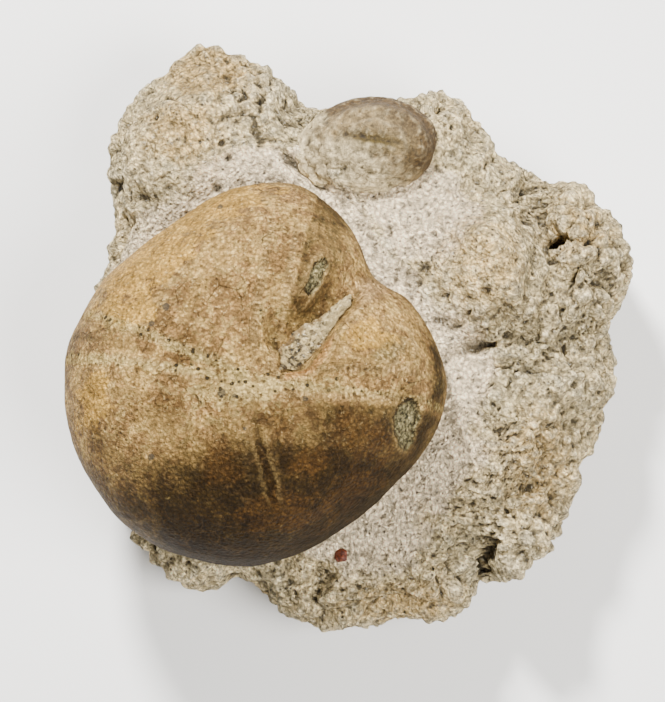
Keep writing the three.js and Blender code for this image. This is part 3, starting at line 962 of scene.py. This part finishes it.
def urchin_calcite(tan, ochre_gold):
    """Tan calcite with ochre and rust stains, small dark marks, a dark tone that is partly its own colour
    and partly painted shade, pore rows, grey filling where it is broken, painted shade in hollows and
    between tubercles, and painted highlights on their crowns.
    """
    material, tree, shader = new_material("urchin_calcite")
    place = drawn_place(tree)
    hollow = read_mark(tree, "hollow")
    ochre, rust, dark = read_marks(tree, "tone")
    star, window, saddle = read_marks(tree, "worn")
    along, across, inside = read_marks(tree, "petal")
    broad = cloud(place, 4.5, detail=6.0, rough=0.65, warp=0.8)
    middle = cloud(place, 1.5, detail=6.0, rough=0.7, warp=0.6)
    fine = cloud(place, 0.45, detail=4.0, rough=0.7, warp=0.3)
    stray_middle = middle - 0.5
    stray_fine = fine - 0.5
    grain = grain_node(place, maths("MULTIPLY_ADD", star, 0.26, 0.03), 0.02)

    def patchy(mask, low, high, middle_share=1.4, fine_share=0.7):
        """A mask whose edge is broken up by the middle and the fine noise."""
        ragged = plus_times(mask, stray_middle, middle_share)
        return between(plus_times(ragged, stray_fine, fine_share), low, high)

    colour = mix(between(broad, 0.44, 0.54), tan, tint("7f6139"))
    colour = laid(colour, between(middle, 0.5, 0.6), 0.55, "b3965a")
    colour = laid(colour, between(middle, 0.46, 0.37), 0.6, "644b28")
    colour = mix(patchy(ochre, 0.4, 0.66) * 0.62, colour, ochre_gold)
    # The dark tone: partly the test's own darker colour and partly painted shade on its lower right, bottom,
    # right rim, groove bank and beside the plate step.
    uneven = plus_times(dark, broad - 0.5, 0.8)
    colour = laid(colour, patchy(uneven, 0.1, 0.95), 0.96, "211503")
    colour = laid(colour, patchy(rust, 0.3, 0.85), 0.6, "452e12")
    colour = laid(colour, patchy(star, 0.35, 1.05, 1.8, 1.9), 0.68, "aa955e")
    # The petals' pores lie in short rungs along each side of a petal.
    step = maths("FRACT", maths("DIVIDE", along, PORE_STEP))
    gap = between(abs(step - 0.5), 0.32, 0.14)
    row = abs(abs(across) - 0.72)
    zone = between(row, 0.24, 0.12) * inside
    pores = gap * (zone * between(broad + stray_fine, 0.36, 0.56))
    worn_rows = maths("MULTIPLY", zone, maths("MULTIPLY_ADD", dark, -0.25, 0.3), clamp=True)
    colour = mix(worn_rows, colour, tint("b29460"))
    colour = laid(colour, pores, 0.55, "584223")
    colour = laid(colour, patchy(saddle, 0.3, 0.9), 0.55, "a4845a")
    filling = mix(between(fine, 0.4, 0.62), tint("454029"), tint("847955"))
    colour = mix(window, colour, filling)
    colour = laid(colour, patchy(read_mark(tree, "lip"), 0.3, 0.8), 0.7, "94602f")
    colour = laid(colour, between(read_mark(tree, "crack"), 0.35, 0.8), 0.9, "1f1a10")
    # Painted shade in the hollows and a painted highlight on the crowns.
    colour = shade_hollows(colour, hollow, "2c1e0b", 0.13, 0.75, "bc9c62")
    cracks = put("TexVoronoi", {"Vector": shifted(place, 2.0, 1.6), "Scale": 1 / 4.2},
                 feature="DISTANCE_TO_EDGE").outputs["Distance"]
    cracks = between(Level(cracks), 0.022, 0.008) * between(broad, 0.5, 0.56)
    colour = laid(colour, cracks, 0.6, "46341c")
    coarse = between(cloud(place, 3.0, detail=3.0), 0.4, 0.6)
    colour = shaded(colour, grain["Mottle"] * coarse, 0.8, 1.28)
    colour = shaded(colour, between(fine, 0.4, 0.54), 0.66, 1.12)
    # Painted light on the tubercles that the bump raises: paler crowns, painted shade between them.
    knob, own = grains(place, 0.46)
    colour = shaded(colour, between(knob, 0.55, 0.3), 0.72, 1.16)
    dot, dot_own = grains(shifted(place, 1.0, 0.5), 0.7)
    dots = between(dot, 0.26, 0.14) * between(dot_own, 0.55, 0.6)
    colour = laid(colour, dots, 0.5, "3d2b14")
    colour = shaded(colour, grains(shifted(place, 3.0, 3.0), 5.0)[1], 0.84, 1.14)
    colour = shaded(colour, own, 0.9, 1.1)
    colour = laid(colour, spot_mask(place, DARK_MARKS), 0.8, "38332a")
    pepper, pepper_own = grains(place, 0.85)
    pepper = between(pepper, 0.36, 0.24) * between(pepper_own, 0.42, 0.52)
    colour = laid(colour, pepper * patchy(star, 0.35, 0.7), 0.95, "231d13")
    colour = laid(colour, grain["Specks"], 0.6, "2e2416")
    bright = grain["Flecks"] * maths("SUBTRACT", 1.0, dark, clamp=True)
    colour = laid(colour, bright, 0.35, "dabf86")
    roughness = spread(patchy(star, 0.2, 0.9), 0.58, 0.88)
    height = plus_times(grain["Height"], fine, 1.2) - knob
    height = height - (pores + plus_times(dots, cracks, 0.6))
    finish_skin(shader, colour, roughness, height, 0.17, specular=0.07)
    return material


def chalk_crust():
    """Chalk paler towards the notch, with painted shade in its hollows, painted highlights on its crowns,
    and a brown hem where it meets the groove floor, partly the test's brown and partly painted contact
    shade.
    """
    material, tree, shader = new_material("chalk_crust")
    place = drawn_place(tree)
    hollow = read_mark(tree, "hollow")
    bright, hem = read_mark(tree, "bright"), read_mark(tree, "hem")
    middle = cloud(place, 1.0, detail=5.0, rough=0.65, warp=0.5)
    grain = grain_node(place, middle * 0.7, 0.03)
    pale = between(plus_times(middle, bright, 0.07), 0.44, 0.56)
    colour = mix(pale, tint("352c1d"), tint("a18c60"))
    colour = laid(colour, bright, 0.15, "c2b082")
    # The brown hem where the chalk meets the groove floor: partly the test's brown and partly painted
    # contact shade.
    ragged = plus_times(hem, middle - 0.5, -3.0)
    colour = laid(colour, between(ragged, 0.1, 0.9), 0.85, "6a5230")
    # Painted shade in the hollows and a painted highlight on the crowns.
    colour = shade_hollows(colour, hollow, "332c1e", 0.12, 0.8, "c4b590")
    colour = shaded(colour, grain["Mottle"], 0.55, 1.12)
    colour = laid(colour, grain["Specks"], 0.9, "2c2820")
    colour = laid(colour, grain["Flecks"], 0.35, "e2d9c0")
    finish_skin(shader, colour, 0.93, grain["Height"], 0.16, specular=0.2)
    return material


def companion_calcite(grey_brown):
    """Grey-brown calcite, paler where it is worn and darker round its far rim."""
    material, tree, shader = new_material("companion_calcite")
    place = drawn_place(tree)
    hollow = read_mark(tree, "hollow")
    wear, streak, rim = read_marks(tree, "skin")
    broad = cloud(place, 3.2, detail=5.0, rough=0.6, warp=0.8)
    middle = cloud(place, 1.1, detail=5.0, rough=0.65, warp=0.5)
    grain = grain_node(place, 0.08, -0.1)
    colour = mix(between(broad, 0.4, 0.62), grey_brown, tint("5f4e33"))
    colour = laid(colour, between(middle, 0.52, 0.7), 0.5, "a3906a")
    colour = laid(colour, rim, 0.95, "4c391d")
    ragged = plus_times(wear, middle - 0.5, 1.1)
    colour = laid(colour, between(ragged, 0.35, 0.9), 0.7, "bdab82")
    colour = mix(streak, colour, tint("463812"))
    colour = laid(colour, between(ragged, 1.3, 1.9), 0.75, "dfca9c")
    patches = between(cloud(place, 0.8, detail=5.0, rough=0.7, warp=0.8), 0.42, 0.58)
    colour = shaded(colour, patches, 0.64, 1.1)
    # Painted shade in the hollows and a painted highlight on the crowns.
    colour = shade_hollows(colour, hollow, "2a2216", 0.11, 0.9, "cfbb8f")
    colour = shaded(colour, grain["Mottle"], 0.7, 1.12)
    colour = laid(colour, grain["Specks"], 0.5, "4e4536")
    colour = laid(colour, grain["Flecks"], 0.4, "e6dfcf")
    finish_skin(shader, colour, 0.78, grain["Height"] + middle, 0.14, specular=0.3)
    return material


def iron_oxide():
    """Rust red."""
    material, tree, shader = new_material("iron_oxide")
    fine = cloud(drawn_place(tree), 0.3, detail=4.0, rough=0.6)
    colour = mix(between(fine, 0.4, 0.62), tint("3a1709"), tint("6a3015"))
    # Painted shade in the hollows.
    colour = shade_hollows(colour, read_mark(tree, "hollow"), "240c06", 0.08, 0.8)
    finish_skin(shader, colour, 0.6, fine, 0.08)
    return material


def studio_floor(pale):
    """A plain pale floor with hardly any mottle."""
    material, tree, shader = new_material("studio_floor")
    here = Level(put("TexCoord", {}, tree).outputs["Object"])
    soft = Level(put("TexNoise", {"Vector": here, "Scale": 9.0, "Detail": 2.0}).outputs["Fac"])
    plug(mix(between(soft, 0.3, 0.7), pale, tint("e2e0dc")), shader.inputs["Base Color"])
    shader.inputs["Roughness"].default_value = 0.9
    return material


# ---- Settings ----

def colour_property(name, description, code):
    return bpy.props.FloatVectorProperty(name=name, description=description, default=tint(code)[:3],
                                         subtype="COLOR", size=3, min=0, max=1)


def amount_property(name, description, default, **limits):
    return bpy.props.FloatProperty(name=name, description=description, default=default, **limits)


def fineness_property(default, most):
    return bpy.props.IntProperty(name="Fineness", description="Cuts along each side of the starting cube",
                                 default=default, min=8, max=most)


class FossilStoneSettings(bpy.types.PropertyGroup):
    cuts: fineness_property(144, 160)
    roughness: amount_property("Nodules", "Height of the stone's nodules in millimetres", 0.95, min=0, max=3)
    cream: colour_property("Cream", "The limestone's own colour", "f8dca2")
    chalk: colour_property("Chalk", "The chalky ground beside the fossils", "f8e0b9")


class FossilTestSettings(bpy.types.PropertyGroup):
    cuts: fineness_property(125, 160)
    petal_depth: amount_property("Petal depth", "How far the petals are sunk, in millimetres", 0.42,
                                 min=0, max=2)
    tan: colour_property("Tan", "The test's own colour", "987945")
    ochre: colour_property("Ochre", "The golden stain on its left", "b1883a")


class FossilCompanionSettings(bpy.types.PropertyGroup):
    cuts: fineness_property(59, 120)
    grey_brown: colour_property("Grey brown", "The smaller fossil's own colour", "7f6b48")


class FossilStageSettings(bpy.types.PropertyGroup):
    floor: colour_property("Floor", "The floor's colour", "eceae6")
    key: amount_property("Key light", "Power of the main soft light", 3.8, min=0, unit="POWER")
    fill: amount_property("Fill light", "Power of the light on the shaded side", 2.5, min=0, unit="POWER")
    distance: amount_property("Camera distance", "From the camera to the fossil, in metres",
                              280.8 * UNIT, min=0.05, unit="LENGTH")


# ---- Operators ----
PLAIN_CUTS = {"cutter": 40, "crust": 31, "grain": 11}  # for the pieces whose fineness has no setting
# What the lights and the camera aim at, in drawn millimetres, the camera's tilt in degrees and its focal
# length, the strength of the light all round, and how far the floor reaches, in metres.
STAGE = {"aim": (0, 0, 17.6), "tilt": 80, "focal": 120, "glow": 0.17, "floor_reach": 1.2}


def opaque(colour):
    return (*colour, 1.0)


class MESH_OT_fossil_stone(bpy.types.Operator):
    """Adds the lump of limestone, with the sockets that its fossils sit in"""
    bl_idname = "mesh.fossil_stone"
    bl_label = "Limestone"

    def execute(self, context):
        settings = context.scene.fossil_stone
        bm = moulded(settings.cuts, stone_places, lambda plain: stone_relief(plain, settings.roughness))
        bmesh.ops.bisect_plane(bm, geom=bm.verts[:] + bm.edges[:] + bm.faces[:], plane_co=(0, 0, 0),
                               plane_no=(0, 0, -1), clear_outer=True)
        rim = [edge for edge in bm.edges if edge.is_boundary]
        bmesh.ops.holes_fill(bm, edges=rim, sides=0)
        stone = loose_body("limestone", bm)
        cut_sockets(stone, [
            loose_body("test_cutter", moulded(PLAIN_CUTS["cutter"], lambda d: test_places(d, -TEST_SOCKET))),
            loose_body("companion_cutter",
                       moulded(PLAIN_CUTS["cutter"], lambda d: companion_places(d, -COMPANION_SOCKET))),
        ])
        places, hollow = skin_of(stone)
        x, y = places[:, 0], places[:, 1]
        stain = np.max([strong * bell(patch(x, y, at, reach)) for at, reach, strong in TEA_STAINS], axis=0)
        # The third value is how hollow the skin is over a wide reach, for the painted shade in the stone's
        # broad hollows.
        ground = np.stack([chalkiness(places), stain, skin_of(stone, 60)[1]], axis=1)
        mark_skin(stone, {"ground": ground, "hollow": hollow})
        stand_for(stone, "matrix_stone",
                  limestone(opaque(settings.cream), opaque(settings.chalk)))
        return {"FINISHED"}


class MESH_OT_fossil_test(bpy.types.Operator):
    """Adds the heart urchin's test, with its petals, front groove and broken places"""
    bl_idname = "mesh.fossil_test"
    bl_label = "Urchin test"

    def execute(self, context):
        settings = context.scene.fossil_test
        bm = moulded(settings.cuts, test_places, lambda plain: test_relief(plain, settings.petal_depth))
        test = loose_body("urchin", bm)
        mark_skin(test, test_marks(*skin_of(test)))
        stand_for(test, "urchin_test",
                  urchin_calcite(opaque(settings.tan), opaque(settings.ochre)))
        return {"FINISHED"}


class MESH_OT_fossil_crust(bpy.types.Operator):
    """Adds the chalk left in the urchin's front groove"""
    bl_idname = "mesh.fossil_crust"
    bl_label = "Groove crust"

    def execute(self, context):
        crust = loose_body("chalk_crust", moulded(PLAIN_CUTS["crust"], crust_places, crust_relief))
        places, hollow = skin_of(crust)
        x, y = from_centre(places, TEST_CENTRE)
        along, across = groove_line(x, y)
        # The hem is 1 where the chalk meets the groove floor, for its brown hem: partly the test's brown and
        # partly painted contact shade.
        above_groove = places[:, 2] - test_height(x, y) + groove_depth(along, across)
        hem = 1 - ease(0.0, 0.4, above_groove)
        mark_skin(crust, {"hollow": hollow, "bright": ease(2.6, 6.5, along), "hem": hem})
        stand_for(crust, "groove_crust", chalk_crust())
        return {"FINISHED"}


class MESH_OT_fossil_companion(bpy.types.Operator):
    """Adds the smaller, half-buried fossil"""
    bl_idname = "mesh.fossil_companion"
    bl_label = "Smaller fossil"

    def execute(self, context):
        settings = context.scene.fossil_companion
        companion = loose_body("companion", moulded(settings.cuts, companion_places, companion_relief))
        places, hollow = skin_of(companion)
        x, y = from_centre(places, COMPANION["at"])
        along, across = along_across(x, y, (-3.6, 0.2), -9)
        streak = bell(across / 1.1) * bell((along - 4.8) / 3.8)
        rim = ease(0.45, 0.85, patch(x, y, (0, 0), (8.6, 6.0), 6)) * ease(-1, 3, x + 1.6 * y)
        skin = np.stack([companion_wear(places), streak, rim], axis=1)
        mark_skin(companion, {"skin": skin, "hollow": hollow})
        stand_for(companion, "companion_fossil",
                  companion_calcite(opaque(settings.grey_brown)))
        return {"FINISHED"}


class MESH_OT_fossil_grain(bpy.types.Operator):
    """Adds the rust-red iron grain"""
    bl_idname = "mesh.fossil_grain"
    bl_label = "Rust grain"

    def execute(self, context):
        low, high = (np.array(corner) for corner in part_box("rust_grain"))
        middle = ((low + high) / 2 - ORIGIN) / UNIT
        bm = moulded(PLAIN_CUTS["grain"], lambda d: d * GRAIN_REACH + middle,
                     lambda plain: 0.16 * (cobbles(plain, 0.6, seed=1.0) - 0.5))
        grain = loose_body("iron_grain", bm)
        mark_skin(grain, {"hollow": skin_of(grain)[1]})
        stand_for(grain, "rust_grain", iron_oxide())
        return {"FINISHED"}


class SCENE_OT_fossil_stage(bpy.types.Operator):
    """Adds the floor, the soft lights and the camera"""
    bl_idname = "scene.fossil_stage"
    bl_label = "Stage"

    def execute(self, context):
        settings = context.scene.fossil_stage
        scene = context.scene
        bm = bmesh.new()
        bmesh.ops.create_grid(bm, x_segments=4, y_segments=4, size=STAGE["floor_reach"])
        bmesh.ops.translate(bm, verts=bm.verts[:], vec=(0, 0, FRAME_BOX[0][2]))
        mesh = bpy.data.meshes.new("floor")
        bm.to_mesh(mesh)
        bm.free()
        mesh.materials.append(studio_floor(opaque(settings.floor)))
        floor = bpy.data.objects.new("floor", mesh)
        scene.collection.objects.link(floor)

        middle = Vector(to_frame(STAGE["aim"]))
        for name, offset, size, power in (("key_light", (-85, 195, 255), 54, settings.key),
                                          ("fill_light", (150, -110, 260), 200, settings.fill)):
            lamp = bpy.data.lights.new(name, "AREA")
            lamp.shape = "DISK"
            lamp.size = size * UNIT
            lamp.energy = power
            light = bpy.data.objects.new(name, lamp)
            light.location = middle + Vector(offset) * UNIT
            light.rotation_euler = (middle - light.location).to_track_quat("-Z", "Y").to_euler()
            scene.collection.objects.link(light)


        world = bpy.data.worlds.new("studio")
        world.use_nodes = True
        glow = world.node_tree.nodes["Background"].inputs
        glow["Color"].default_value = (1, 1, 1, 1)
        glow["Strength"].default_value = STAGE["glow"]
        scene.world = world

        lens = bpy.data.cameras.new("camera")
        lens.lens = STAGE["focal"]
        lens.sensor_width = 36
        camera = bpy.data.objects.new("camera", lens)
        tilt = math.radians(STAGE["tilt"])
        away = Vector((0, -math.cos(tilt), math.sin(tilt)))
        camera.location = middle + away * settings.distance
        camera.rotation_euler = away.to_track_quat("Z", "Y").to_euler()
        scene.collection.objects.link(camera)
        scene.camera = camera
        return {"FINISHED"}


class VIEW3D_PT_fossil(bpy.types.Panel):
    """Lists the fossil's pieces and their settings"""
    bl_label = "Fossil sea urchin"
    bl_idname = "VIEW3D_PT_fossil"
    bl_space_type = "VIEW_3D"
    bl_region_type = "UI"
    bl_category = "Fossil"

    def draw(self, context):
        for operator, group in PIECES:
            box = self.layout.box()
            box.operator(operator)
            settings = getattr(context.scene, group, None) if group else None
            for key in settings.__annotations__ if settings else ():
                box.prop(settings, key)


PIECES = [
    ("mesh.fossil_stone", "fossil_stone"),
    ("mesh.fossil_test", "fossil_test"),
    ("mesh.fossil_crust", None),
    ("mesh.fossil_companion", "fossil_companion"),
    ("mesh.fossil_grain", None),
    ("scene.fossil_stage", "fossil_stage"),
]
SETTINGS = {
    "fossil_stone": FossilStoneSettings,
    "fossil_test": FossilTestSettings,
    "fossil_companion": FossilCompanionSettings,
    "fossil_stage": FossilStageSettings,
}
CLASSES = [
    *SETTINGS.values(), MESH_OT_fossil_stone, MESH_OT_fossil_test, MESH_OT_fossil_crust,
    MESH_OT_fossil_companion, MESH_OT_fossil_grain, SCENE_OT_fossil_stage, VIEW3D_PT_fossil,
]


def register():
    for cls in CLASSES:
        bpy.utils.register_class(cls)
    for name, group in SETTINGS.items():
        setattr(bpy.types.Scene, name, bpy.props.PointerProperty(type=group))


def unregister():
    for name in SETTINGS:
        delattr(bpy.types.Scene, name)
    for cls in reversed(CLASSES):
        bpy.utils.unregister_class(cls)


def main():
    register()
    bpy.ops.mesh.fossil_stone()
    bpy.ops.mesh.fossil_test()
    bpy.ops.mesh.fossil_crust()
    bpy.ops.mesh.fossil_companion()
    bpy.ops.mesh.fossil_grain()
    bpy.ops.scene.fossil_stage()


if __name__ == "__main__":
    main()
